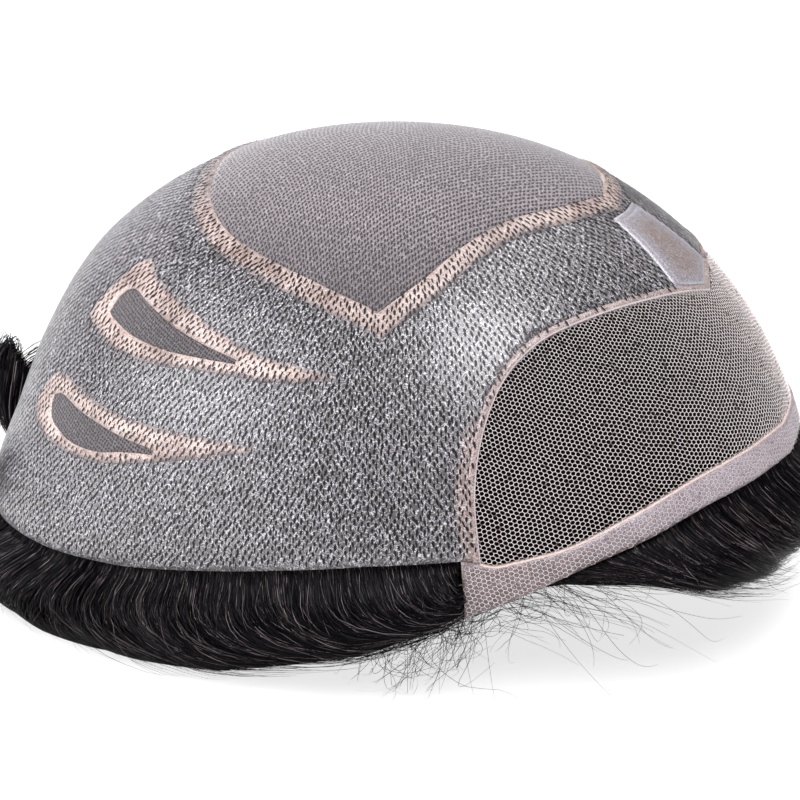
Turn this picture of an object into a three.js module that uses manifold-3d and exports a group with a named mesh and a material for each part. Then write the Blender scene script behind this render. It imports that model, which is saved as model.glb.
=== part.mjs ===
// A toupee hairpiece lying scalp side out: a domed base of clear skin, mesh and lace
// panels, with its hair hanging from the edge down to the surface that it stands on.
// Millimetres. X points to the front of the head, Y to its left side, Z up.

import * as THREE from 'three';
import { mergeVertices } from 'three/addons/utils/BufferGeometryUtils.js';
import Module from 'manifold-3d';

const wasm = await Module();
wasm.setup();
const { Manifold, Mesh: SolidMesh } = wasm;

// Head form that the base is moulded on
const frontReach = 88;
const backReach = 95;
const halfWidth = 72;
const domeRise = 91;
const widestHeight = 8;
const profilePower = 2.15;
const backFlare = 3.4;
const backHollow = 1.2;
const backShape = {
  startTurn: 105,
  fullTurn: 150,
  hollowTop: 0.5,
  hollowFull: 0.68,
  hollowLow: 0.72,
  hollowFoot: 0.9,
  flareTop: 0.8,
  flareFoot: 0.97,
};

// Walls, and the gap that neighbours keep
const gap = 0.3;
const skinWall = 1.2;
const meshWall = 1.0;
const laceWall = 1.0;
const bandWall = 1.6;
const stripWall = 1.7;
const bridgeWall = 1.7;
const weltWall = 1.7;
const bandStand = 0.4;
const stripStand = 0.4;
const bridgeStand = 0.5;
const weltStand = 0.5;
const crownBandWidth = 4.6;
const weltWidth = 1.5;

// Hair
const hairGap = 0.4;
const liningDepth = 5;
const fringeFootDepth = 10;
const fringeUnder = 14;
const fringeBulge = 3;
const rimRoom = 1.9;
const templeRoom = 3;
const floorSink = 1.5;
const lockCount = 25;
const lockWidth = 20;
const lockDepth = 6;
const lockStand = 2;
const lockSunk = 4;
const curlWidth = 11;
const curlDepth = 6;
const curlRise = 24;
const curlReach = 15;

// Fineness of the faceted surfaces
const shellColumns = 40;
const shellRows = 9;
const liningRows = 6;
const outlineStep = 9;
const lockSides = 5;
const lockStations = 5;
const slopeStep = 0.001;
const sharpestCorner = 0.4;
const quarterRows = 9;
const halfRows = 3;

// Outlines on the form. Turn is degrees round from the front, the same on both sides.
// Drop is the share of the way from the crown, 0, to the widest line, 1.
const crownFront = [
  { turn: 0, drop: 0.305 },
  { turn: 20, drop: 0.292 },
  { turn: 37, drop: 0.299 },
  { turn: 54, drop: 0.345 },
  { turn: 67, drop: 0.414 },
  { turn: 77, drop: 0.473 },
];
const crownRear = [
  { turn: 77, drop: 0.473 },
  { turn: 91, drop: 0.44 },
  { turn: 108, drop: 0.411 },
  { turn: 126, drop: 0.383 },
  { turn: 144, drop: 0.343 },
  { turn: 161, drop: 0.305 },
  { turn: 180, drop: 0.292 },
];
const laceEdge = [
  { turn: 58.5, drop: 0.824 },
  { turn: 59, drop: 0.74 },
  { turn: 57.5, drop: 0.66 },
  { turn: 53, drop: 0.58 },
  { turn: 45, drop: 0.522 },
  { turn: 33, drop: 0.491 },
  { turn: 20, drop: 0.482 },
  { turn: 10, drop: 0.489 },
];
const laceFrontDrop = 0.512;
const seamEdge = [
  { turn: 0, drop: 0.731 },
  { turn: 12, drop: 0.73 },
  { turn: 23, drop: 0.741 },
  { turn: 34, drop: 0.771 },
  { turn: 45, drop: 0.808 },
  { turn: 55, drop: 0.828 },
  { turn: 58.5, drop: 0.826 },
];
const hairline = [
  { turn: 0, drop: 0.772 },
  { turn: 12, drop: 0.769 },
  { turn: 23, drop: 0.778 },
  { turn: 34, drop: 0.806 },
  { turn: 46, drop: 0.843 },
  { turn: 55, drop: 0.88 },
];
const templePoint = { turn: 61, drop: 0.905 };
const templeCorner = { turn: 61.5, drop: 0.823 };
const sideRim = [
  { turn: 61.5, drop: 0.823 },
  { turn: 76, drop: 0.837 },
  { turn: 90, drop: 0.858 },
  { turn: 105, drop: 0.884 },
  { turn: 120, drop: 0.911 },
  { turn: 136, drop: 0.931 },
  { turn: 155, drop: 0.947 },
  { turn: 180, drop: 0.952 },
];
const bridgeSide = [
  { turn: 8, drop: 0.344 },
  { turn: 8.5, drop: 0.4 },
  { turn: 9.6, drop: 0.489 },
];

// Vents: the mesh lens and the band round it, whose front ends in a blade
const ventTables = [
  {
    name: 'upper',
    mesh: [
      { turn: 142, top: 0.545, bottom: 0.571 },
      { turn: 139.5, top: 0.522, bottom: 0.578 },
      { turn: 132, top: 0.535, bottom: 0.588 },
      { turn: 123, top: 0.553, bottom: 0.59 },
      { turn: 114, top: 0.566, bottom: 0.586 },
      { turn: 106, top: 0.576, bottom: 0.583 },
    ],
    band: [
      { turn: 147.5, top: 0.575, bottom: 0.594 },
      { turn: 143, top: 0.475, bottom: 0.607 },
      { turn: 135, top: 0.491, bottom: 0.618 },
      { turn: 124, top: 0.513, bottom: 0.616 },
      { turn: 113, top: 0.539, bottom: 0.604 },
      { turn: 102, top: 0.56, bottom: 0.6 },
      { turn: 93, top: 0.567, bottom: 0.594 },
      { turn: 84, top: 0.577, bottom: 0.584 },
    ],
  },
  {
    name: 'lower',
    mesh: [
      { turn: 147, top: 0.728, bottom: 0.742 },
      { turn: 144.5, top: 0.719, bottom: 0.764 },
      { turn: 138, top: 0.725, bottom: 0.774 },
      { turn: 131, top: 0.729, bottom: 0.768 },
      { turn: 125, top: 0.732, bottom: 0.753 },
      { turn: 118, top: 0.734, bottom: 0.741 },
    ],
    band: [
      { turn: 152.5, top: 0.745, bottom: 0.77 },
      { turn: 148.5, top: 0.695, bottom: 0.786 },
      { turn: 140, top: 0.695, bottom: 0.792 },
      { turn: 130, top: 0.702, bottom: 0.782 },
      { turn: 119, top: 0.7, bottom: 0.755 },
      { turn: 108, top: 0.695, bottom: 0.726 },
      { turn: 98, top: 0.695, bottom: 0.702 },
    ],
  },
];
const sides = [
  { name: 'right', sign: -1 },
  { name: 'left', sign: 1 },
];

// Foot of the fringe. Foot is its height over the surface that the piece stands on, tuck
// is how far it stands in from the edge above it, both in millimetres.
const fringeFoot = [
  { turn: 0, foot: 17, tuck: 0 },
  { turn: 14, foot: 17.5, tuck: 0 },
  { turn: 25, foot: 20, tuck: 0 },
  { turn: 36, foot: 26, tuck: 2 },
  { turn: 48, foot: 25, tuck: 5 },
  { turn: 60, foot: 13, tuck: 10 },
  { turn: 70, foot: 6, tuck: 13 },
  { turn: 79, foot: 0, tuck: 14 },
  { turn: 92, foot: 0, tuck: 11 },
  { turn: 104, foot: 0, tuck: 6 },
  { turn: 118, foot: 0, tuck: 1 },
  { turn: 134, foot: 0, tuck: -3 },
  { turn: 155, foot: 0, tuck: -5 },
  { turn: 180, foot: 0, tuck: -5 },
];

// How many degrees the locks sweep round on their way down, from the right side round
// the front to the left, with turn negative on the right
const lockSweep = [
  { turn: -180, sweep: 6 },
  { turn: -140, sweep: 16 },
  { turn: -95, sweep: 26 },
  { turn: -66, sweep: 12 },
  { turn: -50, sweep: 20 },
  { turn: -15, sweep: 24 },
  { turn: 20, sweep: 10 },
  { turn: 50, sweep: -6 },
  { turn: 66, sweep: -12 },
  { turn: 95, sweep: -24 },
  { turn: 140, sweep: -16 },
  { turn: 180, sweep: -6 },
];

// One lock from root to tip, as shares of its full width and depth
const lockSections = [
  { along: 0, width: 0.5, depth: 0.5 },
  { along: 0.25, width: 1, depth: 1 },
  { along: 0.55, width: 0.95, depth: 0.95 },
  { along: 0.8, width: 0.65, depth: 0.7 },
  { along: 1, width: 0.22, depth: 0.3 },
];

// The curls that stand up behind the back edge: lean is millimetres sideways at the tip
const backCurls = [
  { turn: 163, lean: 14, size: 0.85 },
  { turn: 176, lean: -9, size: 1 },
  { turn: -170, lean: 12, size: 0.75 },
];

// Path of a curl, as shares of its reach, its rise and its lean
const curlPath = [
  { out: 0, up: 0, aside: 0 },
  { out: 0.45, up: 0.5, aside: 0.2 },
  { out: 0.6, up: 0.95, aside: 0.5 },
  { out: 0.9, up: 0.85, aside: 0.8 },
  { out: 1, up: 0.4, aside: 1 },
];
const curlRoot = { fall: 0.5, sunk: 1 };

const degrees = THREE.MathUtils.degToRad;
const mix = THREE.MathUtils.lerp;
const smooth = THREE.MathUtils.smoothstep;
const formCentre = new THREE.Vector3(0, 0, widestHeight);

// Value of one column of a table where its key column has a value, along straight lines
// between the rows
function columnAt(rows, column, value, key = 'turn') {
  for (let i = 1; i < rows.length; i += 1) {
    const [before, after] = [rows[i - 1], rows[i]];
    if (value <= after[key]) {
      const share = (value - before[key]) / (after[key] - before[key]);
      return mix(before[column], after[column], Math.max(share, 0));
    }
  }
  return rows.at(-1)[column];
}

// Place of a turn and drop on the flat map of the form
function mapPoint(turn, drop) {
  return new THREE.Vector2(drop * Math.cos(degrees(turn)), drop * Math.sin(degrees(turn)));
}

// How far the back edge stands out of the plain form
function flareAt(turn, drop) {
  const shape = backShape;
  const rear = smooth(Math.abs(turn), shape.startTurn, shape.fullTurn);
  const out = backFlare * smooth(drop, shape.flareTop, shape.flareFoot);
  const inward = smooth(drop, shape.hollowTop, shape.hollowFull)
    - smooth(drop, shape.hollowLow, shape.hollowFoot);
  return rear * (out - backHollow * inward);
}

function surfacePoint(u, v) {
  const drop = Math.hypot(u, v);
  const angle = Math.atan2(v, u);
  const tilt = (drop * Math.PI) / 2;
  const across = Math.abs(Math.sin(tilt)) ** profilePower;
  const upward = Math.abs(Math.cos(tilt)) ** profilePower;
  const scale = (across + upward) ** (-1 / profilePower);
  const lengthReach = Math.cos(angle) > 0 ? frontReach : backReach;
  const plan = 1 / Math.hypot(Math.cos(angle) / lengthReach, Math.sin(angle) / halfWidth);
  const flare = flareAt(THREE.MathUtils.radToDeg(angle), drop);
  const radius = plan * Math.sin(tilt) * scale + flare;
  const height = widestHeight + domeRise * Math.cos(tilt) * scale;
  return new THREE.Vector3(radius * Math.cos(angle), radius * Math.sin(angle), height);
}

function surfaceSlopes(u, v) {
  const along = surfacePoint(u + slopeStep, v).sub(surfacePoint(u - slopeStep, v));
  const across = surfacePoint(u, v + slopeStep).sub(surfacePoint(u, v - slopeStep));
  return [along.divideScalar(2 * slopeStep), across.divideScalar(2 * slopeStep)];
}

function surfaceNormal(u, v) {
  const [along, across] = surfaceSlopes(u, v);
  return along.cross(across).normalize();
}

function liftedPoint(point, lift) {
  return surfacePoint(point.x, point.y).addScaledVector(surfaceNormal(point.x, point.y), lift);
}

// Solids
function solidOf(points, faces) {
  const kept = faces.filter(([a, b, c]) => a !== b && b !== c && c !== a);
  return new Manifold(new SolidMesh({
    numProp: 3,
    vertProperties: new Float32Array(points.flatMap((point) => point.toArray())),
    triVerts: new Uint32Array(kept.flat()),
  }));
}

function quad(a, b, c, d) {
  return [[a, b, c], [a, c, d]];
}

// Triangles between two rings of points, the outer one with as many points or twice as many
function ringFaces(inner, outer) {
  const faces = [];
  for (let i = 0; i < inner.size; i += 1) {
    const [near, nearNext] = [inner.start + i, inner.start + ((i + 1) % inner.size)];
    const far = (step) => outer.start + ((((i * outer.size) / inner.size) + step) % outer.size);
    if (outer.size === inner.size) {
      faces.push(...quad(near, far(0), far(1), nearNext));
    } else {
      faces.push([near, far(0), far(1)], [near, far(1), nearNext], [nearNext, far(1), far(2)]);
    }
  }
  return faces;
}

// A dome wall between two lifts, from the crown down to the drop that edge gives. Rings
// near the crown have half or a quarter of the columns.
function domeShell(outerLift, innerLift, edge, columns, rows) {
  const points = [];
  const layers = [outerLift, innerLift].map((lift) => {
    const crown = points.length;
    const rings = [];
    points.push(liftedPoint(mapPoint(0, 0), lift));
    for (let row = 1; row <= rows; row += 1) {
      const part = row <= rows / quarterRows ? 4 : 2;
      const size = row <= rows / halfRows ? columns / part : columns;
      rings.push({ start: points.length, size });
      for (let column = 0; column < size; column += 1) {
        const turn = (360 * column) / size - 180;
        points.push(liftedPoint(mapPoint(turn, (edge(Math.abs(turn)) * row) / rows), lift));
      }
    }
    const faces = [];
    for (let i = 0; i < rings[0].size; i += 1) {
      faces.push([crown, rings[0].start + i, rings[0].start + ((i + 1) % rings[0].size)]);
    }
    for (let row = 1; row < rows; row += 1) {
      faces.push(...ringFaces(rings[row - 1], rings[row]));
    }
    return { faces, rim: rings.at(-1) };
  });
  const [outside, inside] = layers;
  return solidOf(points, [
    ...outside.faces,
    ...inside.faces.map(([a, b, c]) => [a, c, b]),
    ...ringFaces(outside.rim, inside.rim),
  ]);
}

// Everything that an outline on the form covers, as a wedge from the centre outwards
function wedge(outline) {
  const reach = 3;
  const points = outline.map(({ x, y }) => surfacePoint(x, y)
    .sub(formCentre).multiplyScalar(reach).add(formCentre));
  const faces = THREE.ShapeUtils.triangulateShape(outline, []);
  points.push(formCentre.clone());
  for (let i = 0; i < outline.length; i += 1) {
    faces.push([(i + 1) % outline.length, i, outline.length]);
  }
  return solidOf(points, faces);
}

// Outlines
function smoothLine(rows, drop = 'drop', sign = -1) {
  const marks = rows.map((row) => mapPoint(sign * row.turn, row[drop]));
  const curve = new THREE.SplineCurve(marks);
  const span = surfacePoint(marks[0].x, marks[0].y)
    .distanceTo(surfacePoint(marks.at(-1).x, marks.at(-1).y));
  return curve.getPoints(Math.max(rows.length - 1, Math.round(span / outlineStep)));
}

function outlineOf(marks) {
  const apart = 0.0005;
  const kept = marks.filter((mark, i) => mark.distanceTo(marks.at(i - 1)) > apart);
  return THREE.ShapeUtils.area(kept) < 0 ? kept.reverse() : kept;
}

function bothSides(rightSide) {
  const leftSide = rightSide.map(({ x, y }) => new THREE.Vector2(x, -y)).reverse();
  return outlineOf([...rightSide, ...leftSide]);
}

// The outline moved outwards over the surface by a width, or inwards by a negative one
function grown(outline, width) {
  return outline.map((mark, i) => {
    const before = outline.at(i - 1);
    const after = outline[(i + 1) % outline.length];
    const here = surfacePoint(mark.x, mark.y);
    const normal = surfaceNormal(mark.x, mark.y);
    const toHere = here.clone().sub(surfacePoint(before.x, before.y)).normalize();
    const onward = surfacePoint(after.x, after.y).sub(here).normalize();
    const outFirst = toHere.clone().cross(normal).normalize();
    const outNext = onward.clone().cross(normal).normalize();
    const out = outFirst.clone().add(outNext).normalize();
    const corner = Math.max(out.dot(outNext), sharpestCorner);
    const step = out.multiplyScalar(width / corner);
    const [along, across] = surfaceSlopes(mark.x, mark.y);
    const [aa, ab, bb] = [along.dot(along), along.dot(across), across.dot(across)];
    const [sa, sb] = [step.dot(along), step.dot(across)];
    const area = aa * bb - ab * ab;
    return new THREE.Vector2(mark.x + (sa * bb - sb * ab) / area, mark.y + (sb * aa - sa * ab) / area);
  });
}

function ventOutline(rows, sign) {
  const top = smoothLine(rows, 'top', sign);
  const bottom = smoothLine(rows, 'bottom', sign);
  return outlineOf([...top, ...bottom.reverse()]);
}

const belowEdge = 1.05;
const crownOutline = bothSides([...smoothLine(crownFront), ...smoothLine(crownRear).slice(1)]);
const laceUpper = [...smoothLine(laceEdge), mapPoint(0, laceFrontDrop)];
const seamLine = smoothLine(seamEdge);
const laceOutline = bothSides([...seamLine, ...laceUpper]);
const stripOutline = bothSides([
  ...smoothLine([...hairline, templePoint]),
  mapPoint(-templeCorner.turn, templeCorner.drop),
  ...smoothLine(seamEdge).reverse(),
]);
const frontOutline = bothSides([
  ...smoothLine(hairline.map(({ turn }) => ({ turn, drop: belowEdge }))),
  mapPoint(-templeCorner.turn, belowEdge),
  mapPoint(-templeCorner.turn, templeCorner.drop),
  ...laceUpper,
]);
const bridgeOutline = bothSides([
  mapPoint(0, bridgeSide[0].drop),
  ...smoothLine(bridgeSide),
  mapPoint(0, laceFrontDrop),
]);

// The layers of the base
const underEdge = 0.97;
const rimDrop = (turn) => columnAt(sideRim, 'drop', Math.max(turn, templeCorner.turn));
const layerShell = (stand, wall, edge = () => underEdge) => (
  domeShell(stand, stand - wall, edge, shellColumns, shellRows));
const halfGap = gap / 2;
const crownInner = wedge(grown(crownOutline, halfGap));
const crownOuter = wedge(grown(crownOutline, crownBandWidth + halfGap));
const bridgeSpace = wedge(grown(bridgeOutline, halfGap));
const weltSpace = wedge(grown(laceOutline, weltWidth + gap));
const stripSpace = wedge(grown(stripOutline, halfGap));

function crownMesh() {
  return layerShell(0, meshWall).intersect(wedge(grown(crownOutline, -halfGap)));
}

function crownBand() {
  const whole = wedge(grown(crownOutline, crownBandWidth - halfGap));
  return layerShell(bandStand, bandWall).intersect(whole).subtract(crownInner);
}

function frontLace() {
  return layerShell(0, laceWall).intersect(wedge(grown(laceOutline, -halfGap)));
}

function frontStrip() {
  return layerShell(stripStand, stripWall).intersect(wedge(grown(stripOutline, -halfGap)));
}

function laceWelt() {
  const whole = wedge(grown(laceOutline, weltWidth));
  const inner = wedge(grown(laceOutline, halfGap));
  return layerShell(weltStand, weltWall).intersect(whole)
    .subtract(inner).subtract(stripSpace);
}

function frontBridge() {
  return layerShell(bridgeStand, bridgeWall).intersect(wedge(grown(bridgeOutline, -halfGap)))
    .subtract(crownOuter).subtract(weltSpace);
}

function ventMesh(table, sign) {
  const outline = ventOutline(table.mesh, sign);
  return layerShell(0, meshWall).intersect(wedge(grown(outline, -halfGap)));
}

function ventBand(table, sign) {
  const outer = wedge(grown(ventOutline(table.band, sign), -halfGap));
  const inner = wedge(grown(ventOutline(table.mesh, sign), halfGap));
  return layerShell(bandStand, bandWall).intersect(outer).subtract(inner);
}

function baseSkin() {
  let skin = layerShell(0, skinWall, rimDrop)
    .subtract(crownOuter)
    .subtract(wedge(grown(frontOutline, halfGap)))
    .subtract(weltSpace)
    .subtract(bridgeSpace);
  for (const { sign } of sides) {
    for (const table of ventTables) {
      skin = skin.subtract(wedge(grown(ventOutline(table.band, sign), halfGap)));
    }
  }
  return skin;
}

// The hair
const hairLift = -(stripWall - stripStand + hairGap);
const hairStartRows = [...hairline.filter(({ turn }) => turn < 50), ...sideRim];
const hairStart = (turn) => columnAt(hairStartRows, 'drop', Math.abs(turn));
const domeArc = (domeRise * Math.PI) / 2;
const underShare = fringeUnder / domeArc;
const rimShare = rimRoom / domeArc;

// A point of the fringe's outer face: fall is -1 at its top under the base, 0 level with
// the edge of the base and 1 at its foot, and out is millimetres away from the face
function fringePoint(turn, fall, out) {
  const start = hairStart(turn) + rimShare;
  const under = Math.min(fall, 0) * underShare;
  const base = liftedPoint(mapPoint(turn, start + under), hairLift + (fall < 0 ? out : 0));
  if (fall < 0) {
    return base;
  }
  const outward = new THREE.Vector3(Math.cos(degrees(turn)), Math.sin(degrees(turn)), 0);
  const foot = columnAt(fringeFoot, 'foot', Math.abs(turn));
  const tuck = columnAt(fringeFoot, 'tuck', Math.abs(turn));
  const bulge = fringeBulge * Math.sin(Math.PI * Math.min(fall, 1)) - tuck * fall * fall;
  base.z = mix(base.z, foot - (foot > 0 ? 0 : floorSink), fall);
  return base.addScaledVector(outward, bulge + out);
}

function fringeBacking() {
  const falls = [-1, 0, 1 / 3, 2 / 3, 1];
  const points = [];
  const faces = [];
  const ring = 2 * falls.length;
  for (let column = 0; column < shellColumns; column += 1) {
    const turn = (360 * column) / shellColumns - 180;
    for (const fall of falls) {
      points.push(fringePoint(turn, fall, 0));
    }
    for (const fall of falls.toReversed()) {
      const depth = mix(liningDepth, fringeFootDepth, Math.max(fall, 0));
      points.push(fringePoint(turn, fall, -depth));
    }
    for (let i = 0; i < ring; i += 1) {
      const next = (i + 1) % ring;
      const onward = ((column + 1) % shellColumns) * ring;
      faces.push(...quad(column * ring + i, column * ring + next, onward + next, onward + i));
    }
  }
  return solidOf(points, faces);
}

// A tapered lock along a path, flat against the direction that faces away from the centre
function lockSolid(path, width, depth) {
  const points = [];
  const faces = [];
  for (let station = 0; station < lockStations; station += 1) {
    const along = station / (lockStations - 1);
    const centre = path.getPoint(along);
    const heading = path.getTangent(along);
    const outward = new THREE.Vector3(centre.x, centre.y, 0).normalize();
    const sideways = outward.clone().cross(heading).normalize();
    const facing = heading.clone().cross(sideways).normalize();
    const halfAcross = (width * columnAt(lockSections, 'width', along, 'along')) / 2;
    const halfDeep = (depth * columnAt(lockSections, 'depth', along, 'along')) / 2;
    for (let side = 0; side < lockSides; side += 1) {
      const angle = (2 * Math.PI * side) / lockSides;
      points.push(centre.clone()
        .addScaledVector(sideways, halfAcross * Math.cos(angle))
        .addScaledVector(facing, halfDeep * Math.sin(angle)));
    }
  }
  const at = (station, side) => station * lockSides + (side % lockSides);
  for (let side = 0; side < lockSides; side += 1) {
    for (let station = 1; station < lockStations; station += 1) {
      faces.push(...quad(at(station - 1, side), at(station - 1, side + 1),
        at(station, side + 1), at(station, side)));
    }
  }
  for (let side = 1; side < lockSides - 1; side += 1) {
    faces.push([at(0, 0), at(0, side + 1), at(0, side)]);
    faces.push([at(lockStations - 1, 0), at(lockStations - 1, side), at(lockStations - 1, side + 1)]);
  }
  return solidOf(points, faces);
}

// A lock of the fringe: down from under the edge, then sweeping round as it nears its foot
function fringeLock(turn) {
  const sweep = columnAt(lockSweep, 'sweep', turn);
  const marks = [0, 0.3, 0.6, 0.85, 1].map((along) => {
    const away = THREE.MathUtils.euclideanModulo(turn + sweep * along * along + 180, 360) - 180;
    const out = lockStand * Math.sin(Math.PI * along) - lockSunk * (1 - along) ** 3;
    return fringePoint(away, along, out);
  });
  return lockSolid(new THREE.CatmullRomCurve3(marks), lockWidth, lockDepth);
}

// A curl that leaves the back of the fringe, stands up behind the base and falls again
function backCurl({ turn, lean, size }) {
  const root = fringePoint(turn, curlRoot.fall, -curlRoot.sunk);
  const around = degrees(turn);
  const outward = new THREE.Vector3(Math.cos(around), Math.sin(around), 0);
  const sideways = new THREE.Vector3(-Math.sin(around), Math.cos(around), 0);
  const marks = curlPath.map(({ out, up, aside }) => root.clone()
    .addScaledVector(outward, out * curlReach * size)
    .addScaledVector(sideways, aside * lean)
    .add(new THREE.Vector3(0, 0, up * curlRise * size)));
  return lockSolid(new THREE.CatmullRomCurve3(marks), curlWidth * size, curlDepth * size);
}

function hairLining() {
  const edge = (turn) => hairStart(turn) + rimShare - underShare - gap / domeArc;
  return domeShell(hairLift, hairLift - liningDepth, edge, shellColumns, liningRows);
}

function belowFloor() {
  const slab = new THREE.BoxGeometry(6 * backReach, 6 * backReach, 2 * backReach);
  slab.translate(0, 0, -backReach);
  slab.deleteAttribute('normal');
  slab.deleteAttribute('uv');
  const merged = mergeVertices(slab);
  return new Manifold(new SolidMesh({
    numProp: 3,
    vertProperties: new Float32Array(merged.getAttribute('position').array),
    triVerts: new Uint32Array(merged.index.array),
  }));
}

function hairFringe() {
  let fringe = fringeBacking();
  for (let lock = 0; lock < lockCount; lock += 1) {
    fringe = fringe.add(fringeLock((360 * (lock + 0.5)) / lockCount - 180));
  }
  for (const curl of backCurls) {
    fringe = fringe.add(backCurl(curl));
  }
  const frontRoom = domeShell(templeRoom, hairLift, () => underEdge, shellColumns, shellRows)
    .intersect(stripSpace.add(weltSpace));
  const trimmed = fringe.subtract(frontRoom).subtract(belowFloor());
  const pieces = trimmed.decompose().sort((one, other) => other.volume() - one.volume());
  return pieces[0];
}

// Materials and the assembly
function finish(color, roughness) {
  return new THREE.MeshStandardMaterial({ color, roughness, metalness: 0 });
}

function meshNode(name, solid, material) {
  const { vertProperties, triVerts } = solid.getMesh();
  const geometry = new THREE.BufferGeometry();
  geometry.setAttribute('position', new THREE.BufferAttribute(new Float32Array(vertProperties), 3));
  geometry.setIndex(new THREE.BufferAttribute(new Uint32Array(triVerts), 1));
  geometry.computeVertexNormals();
  const mesh = new THREE.Mesh(geometry, material);
  mesh.name = name;
  return mesh;
}

const clearSkin = finish('#8d8c94', 0.28);
const fineMesh = finish('#6d6468', 0.85);
const tanBand = finish('#b39c92', 0.55);
const paleLace = finish('#8a7f80', 0.8);
const foldedLace = finish('#b3a3a6', 0.6);
const blackHair = finish('#1b1718', 0.45);

const hairpiece = new THREE.Group();
hairpiece.add(
  meshNode('base_skin', baseSkin(), clearSkin),
  meshNode('crown_mesh', crownMesh(), fineMesh),
  meshNode('crown_band', crownBand(), tanBand),
  meshNode('front_lace', frontLace(), paleLace),
  meshNode('lace_welt', laceWelt(), tanBand),
  meshNode('front_strip', frontStrip(), foldedLace),
  meshNode('front_bridge', frontBridge(), clearSkin),
);
for (const { name, sign } of sides) {
  for (const table of ventTables) {
    hairpiece.add(meshNode(`vent_mesh_${table.name}_${name}`, ventMesh(table, sign), fineMesh));
    hairpiece.add(meshNode(`vent_band_${table.name}_${name}`, ventBand(table, sign), tanBand));
  }
}
hairpiece.add(
  meshNode('hair_lining', hairLining(), blackHair),
  meshNode('hair_fringe', hairFringe(), blackHair),
);

// The origin is the middle of the foot of the whole piece
const extent = new THREE.Box3().setFromObject(hairpiece);
const middle = extent.getCenter(new THREE.Vector3());
hairpiece.position.set(-middle.x, -middle.y, -extent.min.z);

export default hairpiece;
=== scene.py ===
"""A toupee hairpiece lying scalp side out: skin, mesh and lace base over a dark fringe."""

import math

import bpy
import numpy as np
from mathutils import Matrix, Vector
from mathutils.geometry import delaunay_2d_cdt


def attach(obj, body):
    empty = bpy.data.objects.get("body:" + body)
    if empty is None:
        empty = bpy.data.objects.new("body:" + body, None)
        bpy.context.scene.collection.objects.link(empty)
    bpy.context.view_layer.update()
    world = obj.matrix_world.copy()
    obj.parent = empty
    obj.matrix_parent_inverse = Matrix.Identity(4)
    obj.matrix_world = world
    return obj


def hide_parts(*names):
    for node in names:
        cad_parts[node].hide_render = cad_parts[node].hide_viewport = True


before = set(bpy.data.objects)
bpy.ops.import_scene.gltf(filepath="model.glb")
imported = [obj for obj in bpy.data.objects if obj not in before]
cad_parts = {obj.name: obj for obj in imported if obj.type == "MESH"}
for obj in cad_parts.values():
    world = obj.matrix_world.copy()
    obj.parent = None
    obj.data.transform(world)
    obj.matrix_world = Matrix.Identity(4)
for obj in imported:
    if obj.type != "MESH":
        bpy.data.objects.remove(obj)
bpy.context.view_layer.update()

# Camera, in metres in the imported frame
CAMERA_PLACE = (0.22238, -0.52815, 0.25739)
CAMERA_AZIMUTH = 22.0
CAMERA_ELEVATION = 21.0
CAMERA_LENS = 125.5
CAMERA_SENSOR = 36.0

# Head form, in millimetres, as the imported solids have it
FORM_PLACE = np.array([12.831, 0.196, 0.0])
MILLIMETRE = 0.001
FRONT_REACH = 88.0
BACK_REACH = 95.0
HALF_WIDTH = 72.0
DOME_RISE = 91.0
WIDEST_HEIGHT = 8.0
PROFILE_POWER = 2.15
BACK_FLARE = 3.4
BACK_HOLLOW = 1.2
DOME_ARC = DOME_RISE * math.pi / 2
MAP_ARC = 70.0
# Steps on the flat map, and the least cosine reckoned with at a corner of an outline
SLOPE_STEP = 0.001
SAME_PLACE = 0.0004
SHARPEST = 0.4

# Walls and widths, in millimetres
SKIN_WALL = 1.2
MESH_WALL = 1.0
BAND_WALL = 1.6
STRIP_WALL = 1.7
BRIDGE_WALL = 1.7
WELT_WALL = 1.7
BAND_STAND = 0.4
STRIP_STAND = 0.4
BRIDGE_STAND = 0.35
WELT_STAND = 0.3
EDGE_STAND = 0.03
CROWN_BAND_WIDTH = 4.6
WELT_WIDTH = 1.5
UNDERLAP = 0.7

# Hair, in millimetres
HAIR_LIFT = -1.7
LINING_DEPTH = 5.0
FRINGE_FOOT_DEPTH = 10.0
FOOT_ROUNDING = 0.5
FRINGE_UNDER = 14.0
FRINGE_BULGE = 3.0
RIM_ROOM = 1.9
FLOOR_SINK = 1.5
FLOOR_GAP = 0.15
STRAND_GAP = 0.12
STRIP_ROOM = 2.3
LOCK_COUNT = 25
LOCK_DEPTH = 6.0
LOCK_STAND = 2.0
LOCK_SUNK = 4.0
CURL_WIDTH = 11.0
CURL_DEPTH = 6.0
CURL_RISE = 24.0
CURL_REACH = 15.0

# Outlines on the form. Turn is degrees round from the front, drop the share of the way
# from the crown, 0, to the widest line, 1.
CROWN_FRONT = [(0, 0.305), (20, 0.292), (37, 0.299), (54, 0.345), (67, 0.414), (77, 0.473)]
CROWN_REAR = [
    (77, 0.473), (91, 0.44), (108, 0.411), (126, 0.383), (144, 0.343), (161, 0.305), (180, 0.292),
]
LACE_EDGE = [
    (58.5, 0.824), (59, 0.74), (57.5, 0.66), (53, 0.58), (45, 0.522), (33, 0.491), (20, 0.482),
    (10, 0.489),
]
LACE_FRONT_DROP = 0.512
SEAM_EDGE = [
    (0, 0.731), (12, 0.73), (23, 0.741), (34, 0.771), (45, 0.808), (55, 0.828), (58.5, 0.826),
]
HAIRLINE = [(0, 0.777), (12, 0.775), (23, 0.785), (34, 0.814), (46, 0.85), (55, 0.884)]
TEMPLE_POINT = (61, 0.905)
TEMPLE_CORNER = (61.5, 0.823)
SIDE_RIM = [
    (61.5, 0.823), (76, 0.837), (90, 0.858), (105, 0.884), (120, 0.911), (136, 0.931), (155, 0.947),
    (180, 0.952),
]
BRIDGE_SIDE = [(8, 0.344), (8.5, 0.4), (9.6, 0.489)]
BELOW_EDGE = 1.05

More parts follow.
